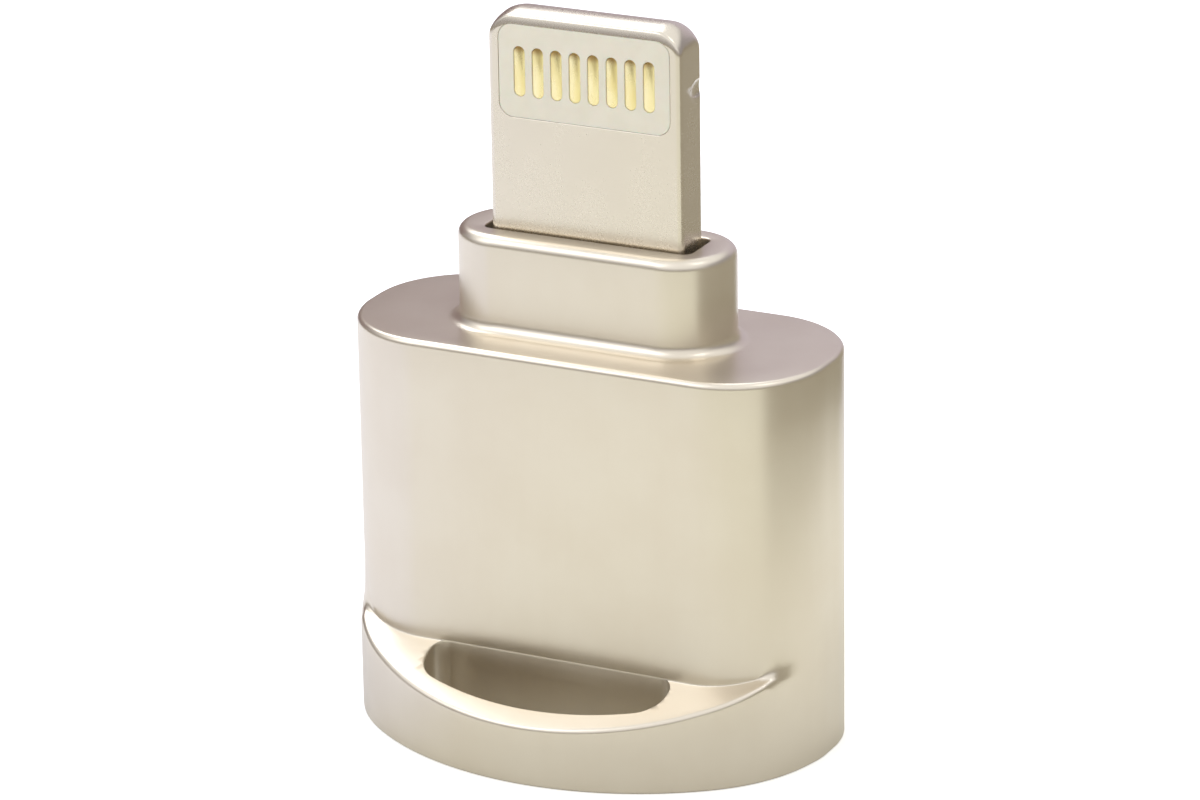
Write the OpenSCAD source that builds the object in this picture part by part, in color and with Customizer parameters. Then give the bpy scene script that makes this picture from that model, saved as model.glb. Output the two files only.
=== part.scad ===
// A small card reader for a phone. A flat eight-contact plug stands on an oval collar,
// on a metal body whose foot bows forward into a lip with a lanyard hole.
// The card goes in from below. Sizes are in millimetres.
// The plug's axis is the Z axis, the foot stands on z = 0 and the lip is towards -Y.

/* [Body] */
// Width of the body, end to end
body_w = 16.04; // [15.4:0.02:22]
// Depth of the body, front to back
body_d = 7.1; // [6.9:0.05:9.5]
// Height of the shoulder above the foot
body_h = 13.08; // [12.6:0.02:18]
// Radius of the body's upright corners
body_corner_r = 3.24; // [2.6:0.02:3.4]
// Radius of the shoulder's outer edge
body_edge_r = 0.2; // [0.05:0.05:0.6]
// Thickness of the body's side walls
wall = 0.9; // [0.75:0.05:1]
// Thickness of the shoulder
shoulder_t = 1; // [0.6:0.05:1.3]

/* [Collar] */
// Width of the collar round the plug
collar_w = 9.34; // [9:0.02:12]
// Depth of the collar
collar_d = 3.64; // [3.4:0.02:4.6]
// Height of the collar above the shoulder
collar_h = 3.12; // [2.8:0.02:4.5]
// Radius of the collar's top edge
collar_edge_r = 0.35; // [0.05:0.05:0.6]
// Radius of the hollow fillet round the collar's foot
collar_foot_r = 0.4; // [0.1:0.05:0.8]
// Thickness of the collar's side wall
collar_wall = 0.6; // [0.4:0.05:0.65]
// Thickness of the collar's top
collar_top_t = 0.8; // [0.4:0.05:1]

/* [Lip and ledge] */
// How far the lip reaches forward of the plug's axis
lip_reach = 6.44; // [6.1:0.02:7.6]
// Radius of the lip's front corners
lip_side_r = 5.39; // [4.6:0.01:5.8]
// How far forward of the plug's axis those corners start
lip_side_y = 0.135; // [0.1:0.005:0.3]
// How far the lip's sides stay inside the body's ends
lip_inset = 0.02; // [0.01:0.01:0.2]
// Height of the lip at the middle of its front
lip_front_h = 1.99; // [1.5:0.01:3]
// Slope of the ledge down to the front, in degrees
ledge_tilt = 20.5; // [8:0.5:22]
// Radius by which the body's front rounds in to the ledge
relief_r = 5.4; // [3.5:0.1:8]
// Height at which that rounding starts
relief_top = 3.8; // [3.6:0.05:5]

/* [Lanyard hole] */
// Width of the hole
hole_w = 8.4; // [6:0.05:9]
// Metal left between the hole and the lip's front
hole_rim = 0.8; // [0.6:0.01:1.3]
// How far the hole's back lies behind the body's front
hole_under = 0.12; // [0:0.01:0.4]
// Depth of the hole's straight sides, with its back corners
hole_side = 0.6; // [0.55:0.01:0.8]
// Radius of the hole's front corners
hole_corner_r = 1.05; // [0.7:0.05:1.2]
// Radius of the hole's back corners
hole_back_r = 0.5; // [0.1:0.05:0.5]

/* [Plug] */
// Width of the plug's tab
tab_w = 6.65; // [6:0.01:6.9]
// Thickness of the tab
tab_t = 1.5; // [1.4:0.01:1.7]
// Height of the tab above the collar
tab_h = 7.1; // [6.5:0.01:8.5]
// Radius of the nose's corners, seen from the front
tab_corner_r = 0.9; // [0.6:0.05:1.5]
// Radius of the tab's upright edges
tab_edge_r = 0.18; // [0.05:0.01:0.3]
// Chamfer along the nose
nose_chamfer = 0.26; // [0.1:0.01:0.35]
// Width of the channel inside the tab
channel_w = 5.1; // [4.6:0.05:5.3]
// Thickness of the channel
channel_t = 0.8; // [0.7:0.05:0.9]
// Width of the window on each face
window_w = 5.9; // [5.6:0.05:6.1]
// Height of the window
window_h = 3.02; // [2.6:0.02:3.2]
// Metal left between the window and the tip
window_drop = 0.41; // [0.35:0.01:0.8]
// Radius of the window's corners
window_r = 0.48; // [0.2:0.02:0.8]
// Radius of the cutter that makes the side detents
detent_r = 0.5; // [0.3:0.05:0.8]
// Depth of the side detents
detent_depth = 0.18; // [0.05:0.01:0.2]
// Distance of the detents below the tip
detent_drop = 2.12; // [1.5:0.02:2.6]
// Gap between the tab's edges and the collar's slot
slot_side_gap = 0.27; // [0.05:0.01:0.4]
// Gap between the tab's faces and the collar's slot
slot_face_gap = 0.14; // [0.05:0.01:0.2]
// Height of the frame's flange inside the collar
flange_h = 1.8; // [1:0.1:2.2]
// Gap between the flange and the collar's inside
flange_gap = 0.1; // [0.02:0.01:0.2]

/* [Contacts] */
// Number of contacts in a row
pad_count = 8; // [4:1:8]
// Distance from one contact to the next
pad_pitch = 0.637; // [0.6:0.001:0.66]
// Width of a contact
pad_w = 0.39; // [0.3:0.01:0.45]
// Length of a contact
pad_h = 1.62; // [1.2:0.02:1.8]
// Distance of the contacts' middle below the tip
pad_drop = 1.93; // [1.6:0.01:2.1]
// How far the contacts lie below the carrier's face
pad_sink = 0.03; // [0:0.01:0.08]
// How far the carrier's face lies below the tab's face
carrier_sink = 0.01; // [0:0.01:0.05]
// Gap between the carrier and the window
carrier_gap = 0.03; // [0.01:0.01:0.06]

/* [Boards] */
// Thickness of the board inside the plug
plug_board_t = 0.5; // [0.4:0.05:0.6]
// Gap between that board and the channel's sides
plug_board_gap = 0.1; // [0.02:0.02:0.2]
// Thickness of the main board
board_t = 0.8; // [0.6:0.1:1]
// Gap between the main board's edges and the sleeve's sides
board_side_gap = 0.3; // [0.26:0.01:0.5]
// Gap between the main board's top and the shoulder
board_top_gap = 0.1; // [0.05:0.05:0.3]
// Width of the main board's tongue, which is soldered to the plug's board
tongue_w = 5; // [4:0.1:5.5]
// Length of the lap between the two boards
lap_h = 1.4; // [1:0.05:1.5]
// Gap between the tongue and the plug's flange
tongue_gap = 0.1; // [0.05:0.05:0.4]

/* [Sleeve and cap] */
// Gap between the sleeve and the shell
sleeve_gap = 0.1; // [0.02:0.01:0.15]
// Thickness of the sleeve's wall
sleeve_t = 0.4; // [0.3:0.05:0.45]
// Height of the cap's flange
cap_flange_h = 1; // [0.6:0.1:1.4]
// Height of the cap's spigot inside the sleeve
cap_spigot_h = 0.8; // [0.4:0.1:1]
// Gap between the cap and what it fits into
cap_gap = 0.05; // [0.02:0.01:0.1]
// How far the front ribs of the sleeve reach in from the main board's edges
front_rib = 0.5; // [0.2:0.05:0.55]
// Gap between the back ribs of the sleeve and the card socket
back_rib_gap = 0.05; // [0.03:0.01:0.08]

/* [Card socket] */
// Width of the card
card_w = 11; // [10:0.1:11.2]
// Thickness of the card
card_t = 0.7; // [0.6:0.05:0.8]
// Gap all round the card in the socket
card_gap = 0.08; // [0.05:0.01:0.1]
// Gap all round the card in the cap's slot
slot_gap = 0.15; // [0.1:0.01:0.2]
// Chamfer round the mouth of the cap's slot
mouth_chamfer = 0.1; // [0.05:0.01:0.15]
// Height of the socket
socket_h = 9.7; // [9:0.05:9.8]
// Thickness of the socket's floor
socket_floor_t = 0.45; // [0.35:0.05:0.5]
// Thickness of the socket's side walls
socket_side_t = 0.4; // [0.3:0.05:0.42]
// Thickness of the wall that stops the card
socket_stop_t = 0.5; // [0.3:0.05:0.8]
// Thickness of the sheet cover
cover_t = 0.12; // [0.1:0.01:0.15]
// Number of the socket's contacts
spring_count = 8; // [4:1:8]
// Distance from one contact of the socket to the next
spring_pitch = 1.1; // [1:0.01:1.15]
// Width of a contact of the socket
spring_w = 0.4; // [0.3:0.05:0.45]
// Thickness of the contacts' strip
spring_t = 0.12; // [0.08:0.01:0.14]
// Length of a contact of the socket
spring_l = 4.3; // [3.6:0.1:5]
// Gap between a moving contact and its slot in the floor
spring_gap = 0.1; // [0.05:0.01:0.15]
// Length of the foot that is soldered to the board
foot_l = 0.4; // [0.2:0.05:0.4]

/* [Parts on the board] */
// Side of the controller chip
controller_side = 4.6; // [4:0.1:4.8]
// Side of the bridge chip
bridge_side = 3; // [2:0.1:3.2]
// Height of both chips
chip_t = 0.85; // [0.5:0.05:0.9]
// Size of the memory chip: across, up and off the board
memory_size = [2, 3, 0.6];
// Size of the crystal's case: across, up and off the board
crystal_size = [2.5, 2, 0.7];
// Size of the regulator's body: across, up and off the board
regulator_size = [2.9, 1.6, 0.9];
// Size of the inductor: across, up and off the board
inductor_size = [2, 1.6, 0.9];
// Size of a capacitor: across, up and off the board
capacitor_size = [0.5, 1, 0.5];
// Size of a resistor: across, up and off the board
resistor_size = [1, 0.5, 0.35];
// Number of capacitors in their row
capacitor_count = 6; // [2:1:6]
// Number of resistors in their column
resistor_count = 6; // [2:1:6]

/* [Hidden] */
$fn = 96;

// How far a cutter runs past what it cuts
past = 1;
// How far a curve stands through a flat that it would only graze
graze = 0.002;

// Levels
collar_top = body_h + collar_h;
tip = collar_top + tab_h;
ceiling = body_h - shoulder_t;
collar_ceiling = collar_top - collar_top_t;
ledge_rise = tan(ledge_tilt);
window_top = tip - window_drop;

// The shell's inside
cavity_w = body_w - 2 * wall;
cavity_d = body_d - 2 * wall;
cavity_r = body_corner_r - wall;
collar_in_w = collar_w - 2 * collar_wall;
collar_in_d = collar_d - 2 * collar_wall;

// The body's rounded front and the lanyard hole
relief_fall = relief_top - lip_front_h;
hole_back = -body_d / 2 + hole_under;
hole_front = -lip_reach + hole_rim;
hole_top_gap = 0.05;

// The boards
board_back = -plug_board_t / 2;
board_front = board_back - board_t;
flange_bottom = collar_ceiling - flange_h;
tongue_top = flange_bottom - tongue_gap;
plug_board_bottom = tongue_top - lap_h;

// The sleeve and the cap
sleeve_w = cavity_w - 2 * sleeve_gap;
sleeve_d = cavity_d - 2 * sleeve_gap;
sleeve_r = cavity_r - sleeve_gap;
sleeve_in_w = sleeve_w - 2 * sleeve_t;
sleeve_in_d = sleeve_d - 2 * sleeve_t;
sleeve_in_r = sleeve_r - sleeve_t;
board_w = sleeve_in_w - 2 * board_side_gap;
board_bottom = cap_flange_h + cap_spigot_h;
board_top = ceiling - board_top_gap;

// The card socket
socket_in_w = card_w + 2 * card_gap;
socket_w = socket_in_w + 2 * socket_side_t;
socket_top = board_bottom + socket_h;
socket_floor = board_back + socket_floor_t;
socket_back = socket_floor + card_t + 2 * card_gap;
card_y = (socket_floor + socket_back) / 2;
stop_z = socket_top - socket_stop_t;
cover_w = socket_w + 2 * cover_t;
slot_w = card_w + 2 * slot_gap;
slot_d = card_t + 2 * slot_gap;
spring_span = (spring_count - 1) * spring_pitch;
detect_x = -(spring_span / 2 + spring_pitch);

// Shared shapes

// A rectangle with round corners. Corners that meet make it a stadium.
module rounded_outline(w, d, r) {
  square([w - 2 * r, d], center = true);
  if (d > 2 * r) square([w, d - 2 * r], center = true);
  for (x = [-1, 1], y = [-1, 1])
    translate([x * (w / 2 - r), y * (d / 2 - r)]) circle(r);
}

// Half of a block's upright section, out to r, with its top edge and its foot rounded.
module edge_section(r, h, top_r, foot_r) {
  square([r, h - top_r]);
  square([r - top_r, h]);
  translate([r - top_r, h - top_r]) circle(top_r);
  if (foot_r > 0)
    difference() {
      square([r + foot_r, foot_r]);
      translate([r + foot_r, foot_r]) circle(foot_r);
    }
}

module whole_section(r, h, top_r, foot_r) {
  edge_section(r, h, top_r, foot_r);
  mirror([1, 0]) edge_section(r, h, top_r, foot_r);
}

// A block with round upright corners, a rounded top edge and a hollow fillet round its foot.
module rounded_block(w, d, r, h, top_r, foot_r = 0) {
  for (x = [-1, 1], y = d > 2 * r ? [-1, 1] : [1])
    translate([x * (w / 2 - r), y * (d / 2 - r), 0])
      rotate_extrude() edge_section(r, h, top_r, foot_r);
  rotate([90, 0, 90])
    linear_extrude(w - 2 * r, center = true) whole_section(d / 2, h, top_r, foot_r);
  if (d > 2 * r)
    rotate([90, 0, 0])
      linear_extrude(d - 2 * r, center = true) whole_section(w / 2, h, top_r, foot_r);
}

// An outline with a straight back and a front that bows forward between two round corners,
// whose centres lie at corner_y. The bow runs smoothly into both.
module bowed_outline(w, front, back, corner_y, corner_r, back_r) {
  corner_x = w / 2 - corner_r;
  rise = corner_y - front;
  bow_r = (corner_x * corner_x + rise * rise - corner_r * corner_r) / (2 * (rise - corner_r));
  bow_y = front + bow_r;
  fan = 1.1 * bow_r / (bow_y - corner_y);
  // The bowed front lies between the two rays through the corners' centres.
  intersection() {
    translate([0, bow_y]) circle(bow_r);
    polygon([
      [0, bow_y],
      [-fan * corner_x, bow_y - fan * (bow_y - corner_y)],
      [fan * corner_x, bow_y - fan * (bow_y - corner_y)]
    ]);
    translate([-w, front - past]) square([2 * w, (corner_y + back) / 2 - front + past]);
  }
  for (x = [-1, 1]) {
    intersection() {
      translate([x * corner_x, corner_y]) circle(corner_r);
      translate([-w, front - past]) square([2 * w, corner_y - front + past]);
    }
    if (back_r > 0) translate([x * (w / 2 - back_r), back - back_r]) circle(back_r);
  }
  straight_sides(w / 2 - back_r, corner_y, back);
  if (back_r > 0) straight_sides(w / 2, corner_y, back - back_r);
}

// A rectangle that reaches as far to each side, from one place in depth to another.
module straight_sides(half_w, front, back) {
  polygon([[-half_w, front], [half_w, front], [half_w, back], [-half_w, back]]);
}

// A flat shape drawn across and up, made solid from one depth to another.
module upright(y_near, y_far) {
  translate([0, y_far, 0]) rotate([90, 0, 0]) linear_extrude(y_far - y_near) children();
}

// A section drawn in depth and height, made solid across a width.
module crosswise(width) {
  rotate([90, 0, 90]) linear_extrude(width, center = true) children();
}

// The shell

// Everything above the sloping ledge.
module above_ledge() {
  span = 2 * body_w;
  translate([0, -lip_reach, lip_front_h])
    rotate([ledge_tilt, 0, 0])
      translate([-span / 2, -span / 2, 0]) cube(span);
}

// The lip: the bowed foot in front of the plug's axis, under the ledge.
module lip() {
  difference() {
    linear_extrude(lip_front_h + lip_reach * ledge_rise + past)
      bowed_outline(body_w - 2 * lip_inset, -lip_reach, 0, -lip_side_y, lip_side_r, 0);
    above_ledge();
  }
}

// The metal taken off where the body's front rounds in to the ledge.
module front_relief() {
  axis_y = -body_d / 2 + relief_r - graze;
  difference() {
    translate([-body_w, -body_d / 2 - past, relief_top - relief_fall])
      cube([2 * body_w, past + relief_r, relief_fall]);
    translate([0, axis_y, relief_top])
      rotate([0, 90, 0]) cylinder(h = 3 * body_w, r = relief_r, center = true);
  }
}

// The lanyard hole, up to just above the ledge.
module lanyard_hole() {
  difference() {
    translate([0, 0, -past])
      linear_extrude(body_h)
        bowed_outline(hole_w, hole_front, hole_back, hole_back - hole_side, hole_corner_r, hole_back_r);
    translate([0, 0, hole_top_gap]) above_ledge();
  }
}

// The room inside the body, the collar and the collar's slot.
module shell_inside() {
  translate([0, 0, -past])
    linear_extrude(ceiling + past) rounded_outline(cavity_w, cavity_d, cavity_r);
  translate([0, 0, ceiling - past])
    linear_extrude(collar_ceiling - ceiling + past)
      rounded_outline(collar_in_w, collar_in_d, collar_in_d / 2);
  linear_extrude(collar_top + past)
    rounded_outline(tab_w + 2 * slot_side_gap, tab_t + 2 * slot_face_gap, tab_edge_r + slot_face_gap);
}

module shell() {
  color([0.87, 0.82, 0.76])
    difference() {
      union() {
        difference() {
          rounded_block(body_w, body_d, body_corner_r, body_h, body_edge_r);
          front_relief();
        }
        lip();
        translate([0, 0, body_h])
          rounded_block(collar_w, collar_d, collar_d / 2, collar_h, collar_edge_r, collar_foot_r);
      }
      lanyard_hole();
      shell_inside();
    }
}

// The plug

// The tab seen from the front, with the nose's corners rounded.
module tab_front_outline() {
  side_top = tip - tab_corner_r;
  translate([-tab_w / 2, flange_bottom]) square([tab_w, side_top - flange_bottom]);
  translate([-tab_w / 2 + tab_corner_r, flange_bottom])
    square([tab_w - 2 * tab_corner_r, tip - flange_bottom]);
  for (x = [-1, 1]) translate([x * (tab_w / 2 - tab_corner_r), side_top]) circle(tab_corner_r);
}

// The tab seen from the side, with the chamfers along its nose.
module tab_side_outline() {
  half = tab_t / 2;
  polygon([
    [-half, flange_bottom],
    [half, flange_bottom],
    [half, tip - nose_chamfer],
    [half - nose_chamfer, tip],
    [-half + nose_chamfer, tip],
    [-half, tip - nose_chamfer]
  ]);
}

module tab_solid() {
  intersection() {
    upright(-tab_t, tab_t) tab_front_outline();
    crosswise(2 * tab_w) tab_side_outline();
    linear_extrude(tip + past) rounded_outline(tab_w, tab_t, tab_edge_r);
  }
}

// The window's outline, made smaller all round by a gap.
module window_outline(gap) {
  translate([0, window_top - window_h / 2])
    rounded_outline(window_w - 2 * gap, window_h - 2 * gap, window_r - gap);
}

module plug_frame() {
  color([0.84, 0.8, 0.73])
    difference() {
      union() {
        tab_solid();
        translate([0, 0, flange_bottom])
          linear_extrude(flange_h)
            rounded_outline(
              collar_in_w - 2 * flange_gap,
              collar_in_d - 2 * flange_gap,
              collar_in_d / 2 - flange_gap
            );
      }
      translate([-channel_w / 2, -channel_t / 2, flange_bottom - past])
        cube([channel_w, channel_t, window_top - flange_bottom + past]);
      upright(-tab_t, tab_t) window_outline(0);
      for (x = [-1, 1])
        translate([x * (tab_w / 2 + detent_r - detent_depth), 0, tip - detent_drop])
          rotate([90, 0, 0]) cylinder(h = 2 * tab_t, r = detent_r, center = true);
    }
}

module pad_outlines() {
  for (i = [0 : pad_count - 1])
    translate([(i - (pad_count - 1) / 2) * pad_pitch, tip - pad_drop]) {
      square([pad_w, pad_h - pad_w], center = true);
      for (z = [-1, 1]) translate([0, z * (pad_h - pad_w) / 2]) circle(pad_w / 2);
    }
}

module contact_carrier() {
  upright(-tab_t / 2 + carrier_sink, board_back)
    difference() {
      window_outline(carrier_gap);
      pad_outlines();
    }
}

module contact_row() {
  upright(-tab_t / 2 + carrier_sink + pad_sink, board_back) pad_outlines();
}

module front_contact_carrier() {
  color([0.94, 0.92, 0.87]) contact_carrier();
}

module back_contact_carrier() {
  color([0.94, 0.92, 0.87]) mirror([0, 1, 0]) contact_carrier();
}

module front_contacts() {
  color([0.89, 0.79, 0.5]) contact_row();
}

module back_contacts() {
  color([0.89, 0.79, 0.5]) mirror([0, 1, 0]) contact_row();
}

module plug_board() {
  width = channel_w - 2 * plug_board_gap;
  color([0.16, 0.42, 0.25])
    translate([-width / 2, -plug_board_t / 2, plug_board_bottom])
      cube([width, plug_board_t, window_top - plug_board_gap - plug_board_bottom]);
}

// The main board and what is soldered to it

module main_board() {
  color([0.1, 0.35, 0.2])
    upright(board_front, board_back) {
      translate([-board_w / 2, board_bottom]) square([board_w, board_top - board_bottom]);
      translate([-tongue_w / 2, board_bottom]) square([tongue_w, tongue_top - board_bottom]);
    }
}

// A block on the board's front, its middle so far across and so far above the board's foot.
module on_board(across, up, size) {
  translate([across - size.x / 2, board_front - size.z, board_bottom + up - size.y / 2])
    cube([size.x, size.z, size.y]);
}

// A chip with the round mark at its first pin.
module chip(across, up, side) {
  mark_r = side / 16;
  mark_in = side / 6;
  mark_depth = chip_t / 10;
  difference() {
    on_board(across, up, [side, side, chip_t]);
    translate([
      across - side / 2 + mark_in,
      board_front - chip_t + mark_depth,
      board_bottom + up + side / 2 - mark_in
    ])
      rotate([90, 0, 0]) cylinder(h = mark_depth + past, r = mark_r);
  }
}

module controller_chip() {
  color([0.12, 0.12, 0.13]) chip(-2.6, 5.9, controller_side);
}

module bridge_chip() {
  color([0.14, 0.14, 0.15]) chip(2.2, 7.4, bridge_side);
}

module memory_chip() {
  color([0.13, 0.13, 0.14]) on_board(0.95, 3.9, memory_size);
}

// A body on five flat legs, three below and two above.
module voltage_regulator() {
  across = 3.5;
  up = 2.1;
  leg_size = [0.4, 0.6, 0.15];
  color([0.15, 0.15, 0.16]) {
    on_board(across, up, regulator_size);
    for (leg = [[-1, -1], [0, -1], [1, -1], [-1, 1], [1, 1]])
      on_board(
        across + leg.x * 0.95,
        up + leg.y * (regulator_size.y + leg_size.y) / 2,
        leg_size
      );
  }
}

// A metal lid on a wider ceramic base.
module crystal() {
  across = -3.6;
  up = 1.6;
  base_t = 0.25;
  rim = 0.2;
  color([0.75, 0.74, 0.7]) {
    on_board(across, up, [crystal_size.x, crystal_size.y, base_t]);
    on_board(across, up, [crystal_size.x - rim, crystal_size.y - rim, crystal_size.z]);
  }
}

// A round core between two plates.
module inductor() {
  across = -0.7;
  up = 1.4;
  plate_t = inductor_size.z / 4;
  color([0.3, 0.3, 0.31]) {
    on_board(across, up, [inductor_size.x, inductor_size.y, plate_t]);
    translate([0, plate_t - inductor_size.z, 0])
      on_board(across, up, [inductor_size.x, inductor_size.y, plate_t]);
    translate([across, board_front, board_bottom + up])
      rotate([90, 0, 0]) cylinder(h = inductor_size.z, r = 0.4 * inductor_size.y);
  }
}

// A small part with a metal cap at each end of its longer side.
module capped_part(across, up, size) {
  rim = 0.04;
  tall = size.y > size.x;
  cap = tall ? [size.x, size.y / 4, size.z] : [size.x / 4, size.y, size.z];
  step = tall ? [0, (size.y - cap.y) / 2] : [(size.x - cap.x) / 2, 0];
  body = tall ? [size.x - rim, size.y, size.z - rim] : [size.x, size.y - rim, size.z - rim];
  on_board(across, up, body);
  for (end = [-1, 1]) on_board(across + end * step.x, up + end * step.y, cap);
}

module capacitors() {
  color([0.72, 0.6, 0.45])
    for (i = [0 : capacitor_count - 1])
      capped_part(-4.9 + 0.94 * i, 9.25, capacitor_size);
}

module resistors() {
  color([0.2, 0.2, 0.22])
    for (i = [0 : resistor_count - 1])
      capped_part(4.9, 4.8 + 0.8 * i, resistor_size);
}

// The card socket

// A row of slots in the socket's floor, wide where a contact moves and tight where it is held.
module spring_slot(across) {
  free_w = spring_w + 2 * spring_gap;
  held_from = stop_z - spring_l / 5;
  translate([across - spring_w / 2, board_back - past, held_from])
    cube([spring_w, spring_t + past, socket_top - held_from + past]);
  translate([across - free_w / 2, board_back - past, stop_z - spring_l])
    cube([free_w, socket_floor_t + 2 * past, held_from - stop_z + spring_l]);
}

module socket_base() {
  color([0.16, 0.16, 0.17])
    difference() {
      translate([-socket_w / 2, board_back, board_bottom])
        cube([socket_w, socket_back - board_back, socket_h]);
      translate([-socket_in_w / 2, socket_floor, board_bottom - past])
        cube([socket_in_w, socket_back - socket_floor + past, stop_z - board_bottom + past]);
      for (i = [0 : spring_count - 1]) spring_slot(i * spring_pitch - spring_span / 2);
      spring_slot(detect_x);
    }
}

// The cover folds round both sides of the base and has two pressed tongues over the card.
module socket_cover() {
  tongue = [1.2, 3];
  cut = 0.2;
  skirt_h = socket_back - board_back + cover_t;
  color([0.8, 0.8, 0.79]) {
    upright(socket_back, socket_back + cover_t)
      difference() {
        translate([-cover_w / 2, board_bottom]) square([cover_w, socket_h]);
        for (x = [-1, 1])
          translate([x * card_w / 4, board_bottom + socket_h / 2])
            difference() {
              square(tongue + [2 * cut, 2 * cut], center = true);
              translate([0, cut]) square(tongue + [0, 2 * cut], center = true);
            }
      }
    for (x = [-1, 1])
      translate([x * (cover_w - cover_t) / 2 - cover_t / 2, board_back, board_bottom])
        cube([cover_t, skirt_h, socket_h]);
  }
}

// A contact's strip: its soldered foot, the stretch held by the floor, the arm and the raised nose.
module spring_strip(across) {
  nose = card_y - spring_t;
  line = [
    [board_back, socket_top + foot_l],
    [board_back, stop_z - spring_l / 5],
    [nose, stop_z - 0.75 * spring_l],
    [nose, stop_z - 0.8 * spring_l],
    [nose - 2 * spring_t, stop_z - 0.95 * spring_l]
  ];
  last = len(line) - 1;
  translate([across, 0, 0])
    crosswise(spring_w)
      polygon(concat(line, [for (i = [last : -1 : 0]) line[i] + [spring_t, 0]]));
}

module socket_contacts() {
  color([0.86, 0.72, 0.4])
    for (i = [0 : spring_count - 1]) spring_strip(i * spring_pitch - spring_span / 2);
}

module card_detect_spring() {
  color([0.84, 0.7, 0.42]) spring_strip(detect_x);
}

// The sleeve and the cap

module insulating_sleeve() {
  color([0.12, 0.12, 0.13]) {
    translate([0, 0, cap_flange_h])
      linear_extrude(ceiling - cap_flange_h)
        difference() {
          rounded_outline(sleeve_w, sleeve_d, sleeve_r);
          rounded_outline(sleeve_in_w, sleeve_in_d, sleeve_in_r);
        }
    // The ribs make a groove for each edge of the main board.
    translate([0, 0, board_bottom])
      linear_extrude(ceiling - board_bottom)
        intersection() {
          rounded_outline(sleeve_in_w, sleeve_in_d, sleeve_in_r);
          union() {
            rib_pair(board_w / 2 - front_rib, -sleeve_in_d, board_front);
            rib_pair(cover_w / 2 + back_rib_gap, board_back, sleeve_in_d);
          }
        }
  }
}

// Both ends of the sleeve's inside, from so far across, between two depths.
module rib_pair(from_x, y_near, y_far) {
  difference() {
    translate([-sleeve_w / 2, y_near]) square([sleeve_w, y_far - y_near]);
    translate([-from_x, y_near - past]) square([2 * from_x, y_far - y_near + 2 * past]);
  }
}

// The cap closes the shell and guides the card through a chamfered slot.
module bottom_cap() {
  mouth_w = slot_w + 2 * mouth_chamfer;
  half = slot_d / 2;
  color([0.14, 0.14, 0.15])
    difference() {
      union() {
        linear_extrude(cap_flange_h)
          rounded_outline(cavity_w - 2 * cap_gap, cavity_d - 2 * cap_gap, cavity_r - cap_gap);
        linear_extrude(board_bottom)
          rounded_outline(sleeve_in_w - 2 * cap_gap, sleeve_in_d - 2 * cap_gap, sleeve_in_r - cap_gap);
      }
      translate([-slot_w / 2, card_y - half, -past]) cube([slot_w, slot_d, board_bottom + 2 * past]);
      crosswise(mouth_w)
        polygon([
          [card_y - half - mouth_chamfer, 0],
          [card_y - half, mouth_chamfer],
          [card_y + half, mouth_chamfer],
          [card_y + half + mouth_chamfer, 0],
          [card_y + half + mouth_chamfer, -past],
          [card_y - half - mouth_chamfer, -past]
        ]);
    }
}

shell();
plug_frame();
front_contact_carrier();
back_contact_carrier();
front_contacts();
back_contacts();
plug_board();
main_board();
controller_chip();
bridge_chip();
memory_chip();
voltage_regulator();
crystal();
inductor();
capacitors();
resistors();
socket_base();
socket_cover();
socket_contacts();
card_detect_spring();
insulating_sleeve();
bottom_cap();
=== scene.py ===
from math import atan2, cos, degrees, hypot, pi, radians, sin, sqrt, tan

import bmesh
import bpy
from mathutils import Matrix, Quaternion, Vector


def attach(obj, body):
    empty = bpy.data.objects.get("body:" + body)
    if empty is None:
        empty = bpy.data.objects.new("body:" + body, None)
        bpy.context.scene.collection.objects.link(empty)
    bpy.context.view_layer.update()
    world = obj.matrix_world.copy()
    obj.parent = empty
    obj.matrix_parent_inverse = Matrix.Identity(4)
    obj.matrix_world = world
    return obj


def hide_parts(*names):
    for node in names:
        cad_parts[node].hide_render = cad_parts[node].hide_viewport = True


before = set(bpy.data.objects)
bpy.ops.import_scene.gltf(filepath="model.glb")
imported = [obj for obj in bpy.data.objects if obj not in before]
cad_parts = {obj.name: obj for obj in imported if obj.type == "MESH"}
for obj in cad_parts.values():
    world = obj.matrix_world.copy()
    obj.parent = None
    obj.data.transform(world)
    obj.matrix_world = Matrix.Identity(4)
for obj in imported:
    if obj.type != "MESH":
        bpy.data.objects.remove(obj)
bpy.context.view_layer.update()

# ---------------------------------------------------------------- shell
# The whole outside of the reader: body, shoulder, collar round the plug, and
# the lip with its sloping ledge. One milled piece of aluminium, blasted fine
# and anodised in champagne. All other pieces are pushed into it from below.

COLUMNS = 480  # upright strips round the shell

BODY_W, BODY_D, BODY_H, BODY_CORNER = 16.04, 7.1, 13.08, 3.24
SHOULDER_EDGE, FOOT_EDGE = 0.2, 0.12
COLLAR_W, COLLAR_D, COLLAR_TOP = 9.34, 3.64, 16.2
COLLAR_EDGE, COLLAR_FOOT = 0.35, 0.4
SLOT_W, SLOT_D, SLOT_CORNER, SLOT_EDGE = 7.19, 1.78, 0.32, 0.06
LIP_HALF_W, LIP_FRONT, LIP_H = 8.0, 6.44, 1.99
LIP_CORNER, LIP_CORNER_X, LIP_CORNER_Y = 5.39, 2.61, -0.135
LEDGE_RISE = tan(radians(20.5))
RELIEF_R, RELIEF_TOP, WALL_CLEAR, POCKET_END = 5.4, 3.8, 6.0, 57
LIP_Z_MOST, WALL_FOOT_Z_MOST = 3.45, 3.65
LIP_ROUND, WALL_FOOT_ROUND, LEDGE_DISH = 0.14, 0.05, 0.01
WALL, SHOULDER_T, COLLAR_WALL, COLLAR_TOP_T = 0.9, 1.0, 0.6, 0.8


def clamp(value, low=0.0, high=1.0):
    return max(low, min(high, value))


def ease(value):
    """0 to 1, with a soft start and a soft end."""
    value = clamp(value)
    return value * value * (3 - 2 * value)


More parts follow.
